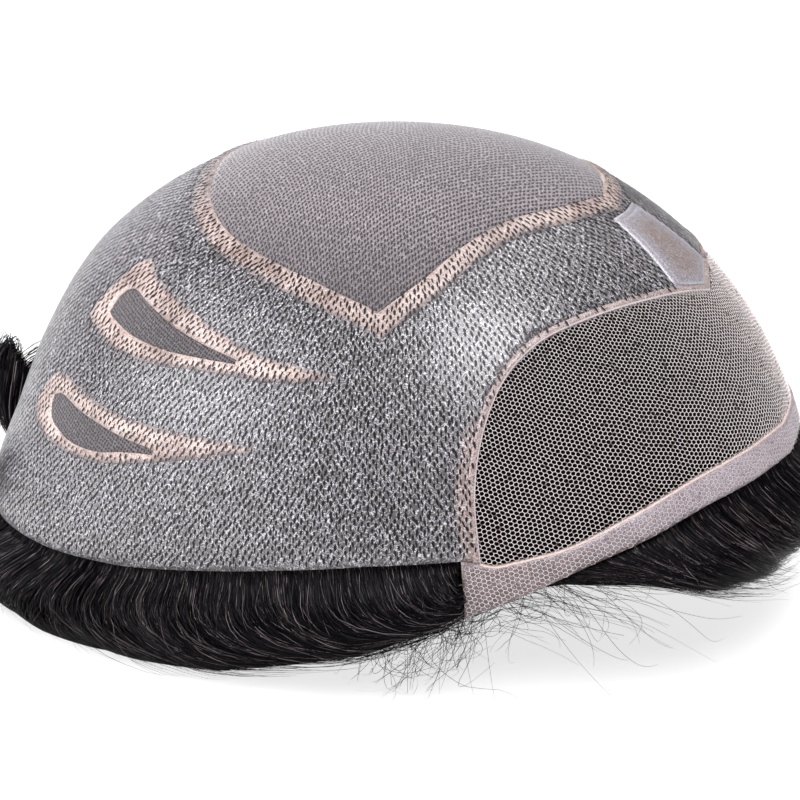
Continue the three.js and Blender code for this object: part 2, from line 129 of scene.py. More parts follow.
# Vents: turn, top drop and bottom drop of the mesh lens and of the band round it
VENTS = {
    "upper": {
        "mesh": [
            (142, 0.545, 0.571), (139.5, 0.522, 0.578), (132, 0.535, 0.588), (123, 0.553, 0.59),
            (114, 0.566, 0.586), (106, 0.576, 0.583),
        ],
        "band": [
            (147.5, 0.575, 0.594), (143, 0.475, 0.607), (135, 0.491, 0.618), (124, 0.513, 0.616),
            (113, 0.539, 0.604), (102, 0.56, 0.6), (93, 0.567, 0.594), (84, 0.577, 0.584),
        ],
    },
    "lower": {
        "mesh": [
            (147, 0.728, 0.742), (144.5, 0.719, 0.764), (138, 0.725, 0.774), (131, 0.729, 0.768),
            (125, 0.732, 0.753), (118, 0.734, 0.741),
        ],
        "band": [
            (152.5, 0.745, 0.77), (148.5, 0.695, 0.786), (140, 0.695, 0.792), (130, 0.702, 0.782),
            (119, 0.7, 0.755), (108, 0.695, 0.726), (98, 0.695, 0.702),
        ],
    },
}
SIDES = {"right": -1, "left": 1}

# Foot of the fringe: turn, height over the floor and how far it stands in from the edge
FRINGE_FOOT = [
    (0, 17, 0), (14, 17.5, 0), (25, 21.5, 0), (36, 28, 2), (48, 31, 7), (54, 28, 11),
    (60, 19.5, 13), (70, 11, 14), (79, 5.5, 14.5), (92, 2.5, 12), (104, 0, 6), (118, 0, 1),
    (134, 0, -3), (155, 0, -5), (180, 0, -5),
]

# Turn of a lock's root, negative on the right, and how many degrees it sweeps round
LOCK_SWEEP = [
    (-180, 6), (-140, 16), (-95, 26), (-66, 12), (-50, 20), (-15, 24), (20, 10), (50, -6),
    (66, -12), (95, -24), (140, -16), (180, -6),
]
# Turn of a strand's root and how far it sweeps round by its tip
STRAND_SWEEP = [
    (-180, -6), (-160, -14), (-146, -12), (-134, -4), (-126, 10), (-115, 26), (-95, 44), (-80, 42),
    (-72, 36), (-61, 30), (-50, 18), (-15, 24), (20, 10), (50, -6), (61, -8), (72, -20), (95, -36),
    (128, -22), (160, -8), (180, -6),
]
STRAND_START = HAIRLINE + [TEMPLE_POINT, (61.6, 0.823)] + SIDE_RIM[1:]
BACK_CURLS = [(163, 14, 0.85), (176, -9, 1.0), (-170, 12, 0.75)]
CURL_PATH = [(0, 0, 0), (0.45, 0.5, 0.2), (0.6, 0.95, 0.5), (0.9, 0.85, 0.8), (1, 0.4, 1)]
CURL_ROOT_FALL = 0.5
CURL_ROOT_SUNK = 1.0


# Numbers
def smoothstep(value, low, high):
    share = np.clip((value - low) / (high - low), 0, 1)
    return share * share * (3 - 2 * share)


def unit(vectors):
    return vectors / np.maximum(np.linalg.norm(vectors, axis=-1, keepdims=True), 1e-12)


def table_at(rows, column, value):
    return np.interp(value, [row[0] for row in rows], [row[column] for row in rows])


def round_table(rows, turn):
    return np.interp((turn + 180) % 360 - 180, *zip(*rows))


def aside(turn):
    """Degrees from the front, on either side."""
    return np.abs((turn + 180) % 360 - 180)


def out_from(turn, lean=0.0):
    """The way out from the middle at a turn, with a lean upwards."""
    angle = np.radians(turn)
    return np.stack([np.cos(angle), np.sin(angle), np.full_like(angle, lean)], axis=-1)


def spline(marks, count):
    """A smooth line of count points through the marks."""
    marks = np.asarray(marks, float)
    last = len(marks) - 1
    place = np.linspace(0, last, count)
    at = np.minimum(place.astype(int), last - 1)
    t = (place - at)[:, None]
    before, here = marks[np.maximum(at - 1, 0)], marks[at]
    after, beyond = marks[at + 1], marks[np.minimum(at + 2, last)]
    v0, v1 = (after - before) / 2, (beyond - here) / 2
    return (
        (2 * here - 2 * after + v0 + v1) * t**3
        + (3 * after - 3 * here - 2 * v0 - v1) * t**2
        + v0 * t
        + here
    )


# The form
def map_points(turn, drop):
    angle = np.radians(turn)
    return np.stack([drop * np.cos(angle), drop * np.sin(angle)], axis=-1)


def flare_at(turn, drop):
    rear = smoothstep(np.abs(turn), 105, 150)
    out = BACK_FLARE * smoothstep(drop, 0.8, 0.97)
    inward = smoothstep(drop, 0.5, 0.68) - smoothstep(drop, 0.72, 0.9)
    return rear * (out - BACK_HOLLOW * inward)


def plan_radius(angle):
    """Radius of the form at its widest height."""
    reach = np.where(np.cos(angle) > 0, FRONT_REACH, BACK_REACH)
    return 1 / np.hypot(np.cos(angle) / reach, np.sin(angle) / HALF_WIDTH)


def form_points(marks):
    """Points of the form, in millimetres, at places on its flat map."""
    drop = np.hypot(marks[..., 0], marks[..., 1])
    angle = np.arctan2(marks[..., 1], marks[..., 0])
    tilt = drop * np.pi / 2
    across = np.abs(np.sin(tilt)) ** PROFILE_POWER
    upward = np.abs(np.cos(tilt)) ** PROFILE_POWER
    scale = (across + upward) ** (-1 / PROFILE_POWER)
    radius = plan_radius(angle) * np.sin(tilt) * scale + flare_at(np.degrees(angle), drop)
    height = WIDEST_HEIGHT + DOME_RISE * np.cos(tilt) * scale
    return np.stack([radius * np.cos(angle), radius * np.sin(angle), height], axis=-1)


def form_slopes(marks):
    along, across = np.array([SLOPE_STEP, 0]), np.array([0, SLOPE_STEP])
    return [
        (form_points(marks + step) - form_points(marks - step)) / (2 * SLOPE_STEP)
        for step in (along, across)
    ]


def form_normals(marks):
    return unit(np.cross(*form_slopes(marks)))


def lifted(marks, lift):
    lift = np.broadcast_to(lift, marks.shape[:-1])
    return form_points(marks) + form_normals(marks) * lift[..., None]


# Outlines
def smooth_line(rows, column=1, sign=-1, step=1.5):
    marks = np.array([map_points(sign * row[0], row[column]) for row in rows])
    span = np.linalg.norm(np.diff(form_points(marks), axis=0), axis=1).sum()
    return spline(marks, max(len(rows), round(span / step)))


def loop_area(loop):
    x, y = loop[:, 0], loop[:, 1]
    return np.sum(x * np.roll(y, -1) - np.roll(x, -1) * y) / 2


def joined(lines):
    return np.concatenate([np.atleast_2d(line) for line in lines])


def closed(*lines):
    """One outline from lines that follow each other, the same way round as the turns."""
    loop = joined(lines)
    apart = np.linalg.norm(loop - np.roll(loop, 1, axis=0), axis=1)
    loop = loop[apart > SAME_PLACE]
    return loop[::-1] if loop_area(loop) < 0 else loop


def both_sides(*lines):
    """An outline that is the same on both sides, from its lines on the right."""
    right = joined(lines)
    left = (right * [1, -1])[::-1]
    return closed(right, left)


def grown(loop, width):
    """The outline moved outwards over the form by a width in millimetres."""
    here, normal = form_points(loop), form_normals(loop)
    to_here = unit(here - np.roll(here, 1, axis=0))
    onward = unit(np.roll(here, -1, axis=0) - here)
    out_first = unit(np.cross(to_here, normal))
    out_next = unit(np.cross(onward, normal))
    out = unit(out_first + out_next)
    corner = np.maximum(np.sum(out * out_next, axis=1), SHARPEST)
    step = out * (width / corner)[:, None]
    along, across = form_slopes(loop)
    aa, ab, bb = (np.sum(p * q, axis=1) for p, q in ((along, along), (along, across), (across, across)))
    sa, sb = np.sum(step * along, axis=1), np.sum(step * across, axis=1)
    area = aa * bb - ab * ab
    return loop + np.stack([(sa * bb - sb * ab) / area, (sb * aa - sa * ab) / area], axis=1)


def vent_outline(rows, sign):
    return closed(smooth_line(rows, 1, sign, 1.0), smooth_line(rows, 2, sign, 1.0)[::-1])


def within(points, loop):
    """Which of the points on the map lie inside the outline."""
    inside = np.zeros(len(points), bool)
    x, y = points[:, 0], points[:, 1]
    for (x0, y0), (x1, y1) in zip(loop, np.roll(loop, -1, axis=0)):
        if y0 != y1:
            crosses = (y0 > y) != (y1 > y)
            inside ^= crosses & (x < (x1 - x0) * (y - y0) / (y1 - y0) + x0)
    return inside


def not_in(points, *loops):
    outside = np.ones(len(points), bool)
    for loop in loops:
        outside &= ~within(points, loop)
    return outside


def filling(loop, *holes):
    """Keeps the places inside an outline that are in none of its holes."""
    return lambda points: within(points, loop) & not_in(points, *holes)


def edge_distance(points, loops):
    """Distance on the map from each point to the nearest outline, in millimetres."""
    nearest = np.full(len(points), 1e9)
    for loop in loops:
        for start, end in zip(loop, np.roll(loop, -1, axis=0)):
            side = end - start
            share = np.clip((points - start) @ side / max(side @ side, 1e-12), 0, 1)
            gap = points - start - share[:, None] * side
            nearest = np.minimum(nearest, np.einsum("ij,ij->i", gap, gap))
    return np.sqrt(nearest) * DOME_ARC


lace_front = map_points(0, LACE_FRONT_DROP)
lace_upper = joined([smooth_line(LACE_EDGE), lace_front])
seam_line = smooth_line(SEAM_EDGE)
temple_corner = map_points(-TEMPLE_CORNER[0], TEMPLE_CORNER[1])
crown_outline = both_sides(smooth_line(CROWN_FRONT), smooth_line(CROWN_REAR)[1:])
lace_outline = both_sides(seam_line, lace_upper)
strip_outline = both_sides(smooth_line(HAIRLINE + [TEMPLE_POINT]), temple_corner, seam_line[::-1])
below_line = smooth_line([(turn, BELOW_EDGE) for turn, _ in HAIRLINE])
below_corner = map_points(-TEMPLE_CORNER[0], BELOW_EDGE)
front_outline = both_sides(below_line, below_corner, temple_corner, lace_upper)
bridge_outline = both_sides(map_points(0, BRIDGE_SIDE[0][1]), smooth_line(BRIDGE_SIDE), lace_front)
rim_turns = np.arange(-180, 180, 1.5)
rim_drops = table_at(SIDE_RIM, 1, np.maximum(np.abs(rim_turns), TEMPLE_CORNER[0]))
rim_outline = closed(map_points(rim_turns, rim_drops))


# Meshes
def added(name, data):
    thing = bpy.data.objects.new(name, data)
    bpy.context.scene.collection.objects.link(thing)
    return thing


def mesh_object(name, points, faces, **maps):
    """An object from points in millimetres and faces with the same corner count. Each map
    gives the points two numbers for the material."""
    faces = np.asarray(faces)
    corners = faces.shape[1]
    mesh = bpy.data.meshes.new(name)
    placed = ((points + FORM_PLACE) * MILLIMETRE).astype(np.float32)
    mesh.vertices.add(len(placed))
    mesh.vertices.foreach_set("co", placed.ravel())
    mesh.loops.add(faces.size)
    mesh.loops.foreach_set("vertex_index", faces.ravel().astype(np.int32))
    mesh.polygons.add(len(faces))
    mesh.polygons.foreach_set("loop_start", np.arange(0, faces.size, corners, dtype=np.int32))
    mesh.polygons.foreach_set("use_smooth", np.full(len(faces), True))
    mesh.update(calc_edges=True)
    for layer_name, numbers in maps.items():
        layer = mesh.uv_layers.new(name=layer_name)
        layer.data.foreach_set("uv", numbers[faces.ravel()].astype(np.float32).ravel())
    mesh.validate()
    return added(name, mesh)


def dress(piece, material, slot, *nodes):
    piece.data.materials.append(material)
    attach(piece, "root")
    if nodes:
        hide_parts(*nodes)
    return piece


def hex_lattice(low, high, step):
    rows = np.arange(low[1], high[1], step * math.sqrt(3) / 2)
    columns = np.arange(low[0], high[0], step)
    x, y = np.meshgrid(columns, rows)
    x = x + (np.arange(len(rows)) % 2)[:, None] * step / 2
    return np.stack([x.ravel(), y.ravel()], axis=1)


def triangulate(loops, step):
    """Points and triangles on the map that fill the first outline but for its holes."""
    inside = filling(*loops)
    pitch = step / DOME_ARC
    everything = np.concatenate(loops)
    lattice = hex_lattice(everything.min(axis=0), everything.max(axis=0), pitch)
    lattice = lattice[inside(lattice)]
    lattice = lattice[edge_distance(lattice, loops) > 0.55 * step]
    points = np.concatenate([everything, lattice])
    edges = []
    start = 0
    for loop in loops:
        count = len(loop)
        edges += [(start + i, start + (i + 1) % count) for i in range(count)]
        start += count
    flat, _, triangles, *_ = delaunay_2d_cdt([Vector(p) for p in points], edges, [], 0, 1e-7)
    flat = np.array([tuple(p) for p in flat])
    triangles = np.array([face for face in triangles if len(face) == 3])
    triangles = triangles[inside(flat[triangles].mean(axis=1))]
    a, b, c = (flat[triangles[:, i]] for i in range(3))
    turned = np.cross(b - a, c - a) < 0
    triangles[turned] = triangles[turned][:, ::-1]
    used, packed = np.unique(triangles, return_inverse=True)
    return flat[used], packed.reshape(triangles.shape)


def border_edges(triangles):
    """Edges that only one triangle has, in that triangle's direction."""
    edges = np.concatenate([triangles[:, [0, 1]], triangles[:, [1, 2]], triangles[:, [2, 0]]])
    keys = np.sort(edges, axis=1)
    _, first, counts = np.unique(keys, axis=0, return_index=True, return_counts=True)
    return edges[first[counts == 1]]


def panel(name, loops, lift, wall, step=2.0, tint=None):
    """A wall that follows the form inside the first outline and outside the others. Lift may
    depend on the place on the map. For the material, Map and Flat say where a point is, in
    millimetres, and Tint has its tint and its drop."""
    flat, triangles = triangulate(loops, step)
    height = lift(flat) if callable(lift) else np.full(len(flat), lift)
    upper = lifted(flat, height)
    lower = lifted(flat, height.max() - wall)
    border = border_edges(triangles)
    count = len(flat)
    below = triangles[:, ::-1] + count
    start, end = border[:, 0], border[:, 1]
    sides = [(end, start, start + count), (end, start + count, end + count)]
    faces = np.concatenate([triangles, below, *(np.stack(side, axis=1) for side in sides)])
    angle, drop = np.arctan2(flat[:, 1], flat[:, 0]), np.hypot(*flat.T)
    tints = tint(flat) if tint else np.zeros(count)
    maps = {
        "Map": np.stack([angle * MAP_ARC, drop * DOME_ARC], axis=1),
        "Flat": flat * DOME_ARC,
        "Tint": np.stack([tints, drop], axis=1),
    }
    both = {key: np.concatenate([numbers, numbers]) for key, numbers in maps.items()}
    return mesh_object(name, np.concatenate([upper, lower]), faces, **both)


# Materials
class Nodes:
    """Short calls for the nodes of one material."""

    def __init__(self, name):
        self.material = bpy.data.materials.new(name)
        self.material.use_nodes = True
        self.tree = self.material.node_tree
        self.shader = self.tree.nodes["Principled BSDF"]
        self.place = self.add("TexCoord").outputs["Object"]

    def put(self, value, socket):
        """Links a socket to another node's output, or sets it. A colour comes without alpha."""
        if isinstance(value, bpy.types.NodeSocket):
            self.tree.links.new(value, socket)
        elif socket.type == "RGBA":
            socket.default_value = (*value, 1)
        else:
            socket.default_value = value

    def add(self, kind, inputs=None, **settings):
        node = self.tree.nodes.new("ShaderNode" + kind)
        for key, value in settings.items():
            setattr(node, key, value)
        for key, value in (inputs or {}).items():
            self.put(value, node.inputs[key])
        return node

    def uv(self, name):
        return self.add("UVMap", uv_map=name).outputs["UV"]

    def axis(self, vector, name):
        return self.add("SeparateXYZ", {"Vector": vector}).outputs[name]

    def tint(self):
        return self.axis(self.uv("Tint"), "X")

    def drop(self):
        return self.axis(self.uv("Tint"), "Y")

    def scaled(self, vector, scale):
        return self.add("Mapping", {"Vector": vector, "Scale": scale}).outputs["Vector"]

    def ramp(self, value, *stops):
        node = self.add("ValToRGB", {"Fac": value})
        marks = node.color_ramp.elements
        while len(marks) < len(stops):
            marks.new(0.5)
        for mark, (place, colour) in zip(marks, stops):
            mark.position = place
            mark.color = (*colour, 1) if hasattr(colour, "__len__") else (colour, colour, colour, 1)
        return node.outputs["Color"]

    def noise(self, scale, detail, roughness=0.5, vector=None):
        vector = self.place if vector is None else vector
        inputs = {"Vector": vector, "Scale": scale, "Detail": detail, "Roughness": roughness}
        return self.add("TexNoise", inputs).outputs["Fac"]

    def mix(self, share, first, second):
        return self.add("Mix", {0: share, 6: first, 7: second}, data_type="RGBA").outputs[2]

    def math(self, operation, *values):
        return self.add("Math", dict(enumerate(values)), operation=operation).outputs[0]

    def finish(self, colour, bump=None, bump_depth=0.00008, strength=0.35, **looks):
        self.put(colour, self.shader.inputs["Base Color"])
        if bump is not None:
            node = self.add("Bump", {"Height": bump, "Distance": bump_depth, "Strength": strength})
            self.put(node.outputs["Normal"], self.shader.inputs["Normal"])
        for key, value in looks.items():
            self.put(value, self.shader.inputs[key.replace("_", " ")])
        return self.material


def speckled(nodes, ground, pale, dark, share=0.8):
    """A ground broken up by fine pale squiggles and dark specks."""
    wander = nodes.noise(1350, 1)
    squiggle = nodes.ramp(wander, (0.46, 0.0), (0.5, share), (0.54, 0.0))
    grain = nodes.noise(3200, 1, 0.6)
    specks = nodes.ramp(grain, (0.36, 0.8), (0.5, 0.0))
    spotted = nodes.mix(specks, ground, dark)
    return nodes.mix(squiggle, spotted, pale), nodes.math("ADD", squiggle, grain)


def skin_material():
    """Clear film over a net with dark hair under it: grey, tan beside the lace."""
    nodes = Nodes("clear_skin")
    cloud = nodes.noise(34, 3, 0.6)
    grey = nodes.ramp(cloud, (0.35, (0.05, 0.046, 0.05)), (0.65, (0.102, 0.093, 0.1)))
    ragged = nodes.math("MULTIPLY_ADD", nodes.noise(500, 2, 0.6), 0.6, nodes.tint())
    tan_mask = nodes.ramp(ragged, (0.55, 0.0), (0.95, 0.8))
    ground = nodes.mix(tan_mask, grey, (0.3, 0.215, 0.19))
    colour, relief = speckled(nodes, ground, (0.72, 0.69, 0.73), (0.02, 0.017, 0.019), 0.85)
    return nodes.finish(
        colour, relief, Roughness=0.4, Coat_Weight=0.8, Coat_Roughness=0.34, Coat_IOR=1.5
    )


def knot_material(name, colour):
    nodes = Nodes(name)
    tone = nodes.noise(300, 1)
    dark = tuple(0.4 * value for value in colour)
    tone = nodes.ramp(tone, (0.35, dark), (0.65, colour))
    return nodes.finish(
        tone, Roughness=0.5, Specular_IOR_Level=0.2, Coat_Weight=0.2, Coat_Roughness=0.33, Coat_IOR=1.45
    )


def band_material(name, lightness, rear_tan):
    """Doubled net under skin: pinkish tan, speckled, its outer edge lost in the skin."""
    nodes = Nodes(name)
    cloud = nodes.noise(90, 3, 0.65)
    # Lightness scales the tan; above 1 it is painted light
    brown, tan = np.array([[0.21, 0.14, 0.118], [0.56, 0.45, 0.405]]) * lightness
    tan_ground = nodes.ramp(cloud, (0.3, brown), (0.7, tan))
    ragged = nodes.math("MULTIPLY_ADD", nodes.noise(420, 2, 0.7), 3.0, nodes.tint())
    forward = nodes.math("MULTIPLY_ADD", nodes.axis(nodes.place, "X"), 20.0, 1.0)
    rear = nodes.ramp(forward, (0.36, rear_tan), (0.58, 1.0))
    inner = nodes.ramp(nodes.math("MULTIPLY", ragged, 0.25), (0.36, 0.0), (0.7, 1.0))
    band_mask = nodes.math("MULTIPLY", rear, inner)
    ground = nodes.mix(band_mask, (0.16, 0.15, 0.16), tan_ground)
    colour, relief = speckled(nodes, ground, (0.66, 0.58, 0.57), (0.08, 0.055, 0.05), 0.6)
    return nodes.finish(colour, relief, Roughness=0.5, Coat_Weight=0.4, Coat_Roughness=0.36)


def welt_material():
    """The edge of the skin beside the lace: tan, with a pale bead next to the net."""
    nodes = Nodes("lace_edge")
    bead = nodes.ramp(nodes.tint(), (0.22, 0.8), (0.36, 0.0))
    colour, relief = speckled(nodes, (0.29, 0.215, 0.195), (0.56, 0.52, 0.55), (0.05, 0.035, 0.035))
    colour = nodes.mix(bead, colour, (0.62, 0.56, 0.57))
    return nodes.finish(colour, relief, strength=0.3, Roughness=0.45, Coat_Weight=0.3)


def woven_material(name, layer, across, along, dark, pale, sheen=0.2):
    """Fine net over dark hair, with painted shade that darkens it low down: across and along say how its
    holes repeat.
    """
    nodes = Nodes(name)
    flat = nodes.uv(layer)
    steps = [
        nodes.add("VectorMath", {0: flat, 1: (*axis, 0)}, operation="DOT_PRODUCT").outputs["Value"]
        for axis in (across, along)
    ]
    rows = nodes.add("CombineXYZ", dict(enumerate(steps))).outputs["Vector"]
    cells = {"Vector": rows, "Scale": 1.0, "Randomness": 0.3}
    holes = nodes.add("TexVoronoi", cells, voronoi_dimensions="2D").outputs["Distance"]
    mask = nodes.ramp(holes, (0.26, 0.0), (0.42, 1.0))
    cloud = nodes.noise(45, 3, 0.65)
    thread = nodes.ramp(cloud, (0.3, tuple(0.7 * value for value in pale)), (0.7, pale))
    bright = tuple(2.2 * value for value in pale)
    thread, _ = speckled(nodes, thread, bright, dark, 0.6)
    # Painted shade: the net is mixed towards dark further down the form
    low = nodes.ramp(nodes.drop(), (0.3, 0.0), (0.46, 0.42))
    colour = nodes.mix(low, nodes.mix(mask, dark, thread), dark)
    return nodes.finish(
        colour, mask, 0.00012, 0.6, Roughness=0.7, Sheen_Weight=sheen, Sheen_Roughness=0.4
    )


def bridge_material():
    """Film over net, grey-lilac, browner in the middle, with two pale lines along its border."""
    nodes = Nodes("bridge_film")
    inward = nodes.math("MULTIPLY", nodes.tint(), 0.1)
    lilac, brown, pale = (0.25, 0.235, 0.26), (0.2, 0.155, 0.14), (0.42, 0.4, 0.44)
    ground = nodes.ramp(
        inward, (0.03, pale), (0.08, lilac), (0.13, lilac), (0.17, pale), (0.22, lilac), (0.6, brown)
    )
    colour, relief = speckled(nodes, ground, (0.62, 0.6, 0.65), (0.07, 0.06, 0.065), 0.4)
    return nodes.finish(colour, relief, Roughness=0.42, Coat_Weight=0.8, Coat_Roughness=0.36)


def strip_material():
    """Glued fold of lace: pinkish beige, browner at the temple, with dark specks in its net."""
    nodes = Nodes("folded_lace")
    cloud = nodes.noise(75, 3, 0.65)
    fair = nodes.ramp(cloud, (0.3, (0.23, 0.185, 0.2)), (0.7, (0.36, 0.31, 0.34)))
    brown = nodes.ramp(cloud, (0.3, (0.045, 0.03, 0.027)), (0.7, (0.17, 0.117, 0.105)))
    temple = nodes.ramp(nodes.drop(), (0.78, 0.0), (0.84, 1.0))
    ground = nodes.mix(temple, fair, brown)
    colour, relief = speckled(nodes, ground, (0.6, 0.54, 0.56), (0.07, 0.05, 0.045), 0.35)
    seam = nodes.ramp(nodes.tint(), (0.3, 0.85), (0.45, 0.0))
    colour = nodes.mix(seam, colour, (0.62, 0.47, 0.41))
    return nodes.finish(colour, relief, bump_depth=0.0001, strength=0.4, Roughness=0.5, Coat_Weight=0.25)


def thread_material(name, colour, crest):
    """Pale threads with brown flecks, with painted shade that darkens them towards their holes beyond
    the share crest.
    """
    nodes = Nodes(name)
    tone = nodes.noise(900, 2, 0.7)
    dark = (0.22 * colour[0], 0.15 * colour[1], 0.12 * colour[2])
    thread = nodes.ramp(tone, (0.33, dark), (0.42, colour))
    # Painted shade on the sides of the threads, from the crest down to the edge of the hole
    side = nodes.axis(nodes.uv("Map"), "Y")
    shade = nodes.ramp(side, (crest, 0.0), (crest + 0.3, 0.94))
    return nodes.finish(nodes.mix(shade, thread, (0.03, 0.022, 0.02)), Roughness=0.5)


def hair_material():
    """Near-black hair. The first map axis is a strand's own tone, its brightest tones partly lighter
    hairs and partly painted highlight; the second runs along it: painted glints make the tone come and
    go a few times from root to tip."""
    nodes = Nodes("black_hair")
    black = (0.0009, 0.0007, 0.0012)
    strand = nodes.uv("Map")
    # Strand tones: the bright end is partly lighter hairs and partly painted highlight
    colour = nodes.ramp(
        nodes.axis(strand, "X"),
        (0.0, black),
        (0.66, (0.003, 0.0023, 0.0033)),
        (0.85, (0.019, 0.0155, 0.018)),
        (1.0, (0.18, 0.148, 0.152)),
    )
    # Painted glints: along each strand the colour comes and goes between black and its tone
    apart, glints = 4000, 7
    own_way = nodes.scaled(strand, (apart, glints, 1))
    glint = nodes.ramp(nodes.noise(1.0, 1, vector=own_way), (0.42, 0.08), (0.6, 1.0))
    return nodes.finish(nodes.mix(glint, black, colour), Roughness=0.34, Specular_IOR_Level=0.05)


def hair_mass_material():
    """The body of the hair under its strands, streaked along the way it falls."""
    nodes = Nodes("hair_body")
    fall_way = nodes.scaled(nodes.uv("Map"), (3.0, 0.12, 1))
    streaks = nodes.noise(1.0, 4, 0.7, fall_way)
    colour = nodes.ramp(streaks, (0.35, (0.0012, 0.001, 0.0014)), (0.7, (0.0048, 0.0038, 0.0046)))
    return nodes.finish(colour, streaks, 0.0008, 0.8, Roughness=0.6, Specular_IOR_Level=0.03)


# The base
crown_outer = grown(crown_outline, CROWN_BAND_WIDTH)
crown_underlap = grown(crown_outline, CROWN_BAND_WIDTH - UNDERLAP)
welt_outer = grown(lace_outline, WELT_WIDTH)
welt_underlap = grown(lace_outline, WELT_WIDTH - UNDERLAP)
vent_bands = {}
vent_meshes = {}
for side_name, sign in SIDES.items():
    for vent_name, tables in VENTS.items():
        key = f"{vent_name}_{side_name}"
        vent_bands[key] = vent_outline(tables["band"], sign)
        vent_meshes[key] = vent_outline(tables["mesh"], sign)


def lace_tan(flat):
    """Share of tan in the skin: a zone beside the lace, widest at the temple."""
    away = edge_distance(flat, [lace_outline])
    low = smoothstep(np.hypot(*flat.T), 0.55, 0.74)
    near = 1 - smoothstep(away, 1.0, 3.2)
    wide = 1 - smoothstep(away, 4.2, 6.2)
    return np.maximum(low * wide, 0.45 * near)


def base_skin(material):
    loops = [rim_outline, crown_underlap, welt_underlap, front_outline, bridge_outline]
    piece = panel("skin_film", loops + list(vent_meshes.values()), 0.0, SKIN_WALL, 2.2, lace_tan)
    return dress(piece, material, "clear_skin", "base_skin")


def crown_mesh(material):
    piece = panel("crown_net", [grown(crown_outline, UNDERLAP)], 0.0, MESH_WALL)
    return dress(piece, material, "fine_mesh", "crown_mesh")


def edged_panel(name, loops, stand, edge_stand, width, wall, step, tint_from):
    """A panel rounded off at its outlines, from its stand to its edge's stand over a width."""

    def lift(flat):
        return edge_stand + (stand - edge_stand) * smoothstep(edge_distance(flat, loops), 0, width)

    return panel(name, loops, lift, wall, step, lambda flat: edge_distance(flat, [tint_from]))


def crown_band(material):
    loops = [crown_outer, crown_outline]
    piece = edged_panel(
        "crown_edge_band", loops, BAND_STAND, EDGE_STAND, 1.6, BAND_WALL, 1.1, crown_outer
    )
    return dress(piece, material, "tan_band", "crown_band")


def lace_welt(material):
    loops = [welt_outer, lace_outline, strip_outline]
    piece = edged_panel("lace_edge_welt", loops, WELT_STAND, 0.06, 0.7, WELT_WALL, 0.5, lace_outline)
    return dress(piece, material, "tan_band", "lace_welt")


def front_strip(material):
    loops = [strip_outline]
    piece = edged_panel("hairline_strip", loops, STRIP_STAND, -0.05, 1.0, STRIP_WALL, 1.1, lace_outline)
    return dress(piece, material, "folded_lace", "front_strip")


def front_bridge(material):
    loops = [bridge_outline, crown_outer, welt_outer]
    piece = edged_panel(
        "bridge_panel", loops, BRIDGE_STAND, EDGE_STAND, 0.8, BRIDGE_WALL, 0.8, bridge_outline
    )
    return dress(piece, material, "clear_skin", "front_bridge")


def vents(net, band):
    rings = []
    for key, outline in vent_meshes.items():
        mesh = panel(f"vent_net_{key}", [grown(outline, UNDERLAP)], -0.1, MESH_WALL, 1.2)
        dress(mesh, net, "fine_mesh", f"vent_mesh_{key}")
        outer = vent_bands[key]
        ring = edged_panel(
            f"vent_edge_{key}", [outer, outline], BAND_STAND, EDGE_STAND, 1.5, BAND_WALL, 1.0, outer
        )
        rings.append(dress(ring, band, "tan_band", f"vent_band_{key}"))
    return rings


# Nets of six-sided holes
NET_PITCH = 0.9
NET_STRETCH = 1.08
NET_TURN = 19.0
NET_ARC = 68.0
NET_MIDDLE = 0.655
NET_REACH = 100.0
NET_WAVE = 0.16
NET_BENDS = 0.7
NET_PHASES = np.array([0.4, 1.9])


def net_to_map(flat):
    """Places on the map of a net that is bent slightly out of true, as soft net is."""
    wavy = flat + NET_WAVE * np.sin(NET_BENDS * flat[..., ::-1] + NET_PHASES)
    return map_points(np.degrees(wavy[..., 0] / NET_ARC), wavy[..., 1] / DOME_ARC)


def hex_net(name, loop, stand, thread, depth):
    """Threads round six-sided holes, laid over the form inside an outline. The second map
    axis is 0 on a thread's crest and 1 at the edge of a hole."""
    corner = np.array([NET_REACH, NET_REACH])
    lattice = hex_lattice(-corner, corner, NET_PITCH)
    lean = math.radians(NET_TURN)
    spin = np.array([[math.cos(lean), math.sin(lean)], [-math.sin(lean), math.cos(lean)]])
    stretch = np.array([NET_STRETCH, 1])
    cells = lattice * stretch @ spin + [0, NET_MIDDLE * DOME_ARC]
    marks = net_to_map(cells)
    cells = cells[within(marks, loop)]
    steps = np.radians(np.arange(6) * 60 + 30)
    ring = np.stack([np.cos(steps), np.sin(steps)], axis=1) * NET_PITCH / math.sqrt(3) * stretch @ spin
    crest = lifted(net_to_map(cells[:, None] + ring), stand)
    hole = lifted(net_to_map(cells[:, None] + ring * (1 - thread / NET_PITCH)), stand - depth)
    points = np.concatenate([crest, hole], axis=1).reshape(-1, 3)
    here = np.arange(6)
    after = (here + 1) % 6
    quads = np.stack([here, after, after + 6, here + 6], axis=1)
    faces = (np.arange(len(cells))[:, None, None] * 12 + quads).reshape(-1, 4)
    side = np.tile(np.repeat([0.0, 1.0], 6), len(cells))
    return mesh_object(name, points, faces, Map=np.stack([side, side], axis=1))


def front_lace(material):
    piece = hex_net("lace_net", grown(lace_outline, 0.2), stand=0.06, thread=0.2, depth=0.17)
    return dress(piece, material, "open_lace", "front_lace")


def strip_net(material):
    loop, stand = grown(strip_outline, -0.6), STRIP_STAND + 0.07
    piece = hex_net("hairline_strip_net", loop, stand, thread=0.12, depth=0.04)
    return dress(piece, material, "folded_lace")


# Knots: short dashes of hair that show through the skin
KNOT_ROW = 1.04
KNOT_STEP = 1.66
KNOT_LENGTH = 1.4
KNOT_WIDTH = 0.52
KNOT_LEAN = 14.0
KNOT_STAND = 0.06
KNOT_BLOCK = 12
# Corners of a knot, as shares of its half length and half width
KNOT_SHAPE = [(-1, 0), (-0.4, 1), (0.5, 0.8), (1, 0), (0.5, -0.8), (-0.4, -1)]


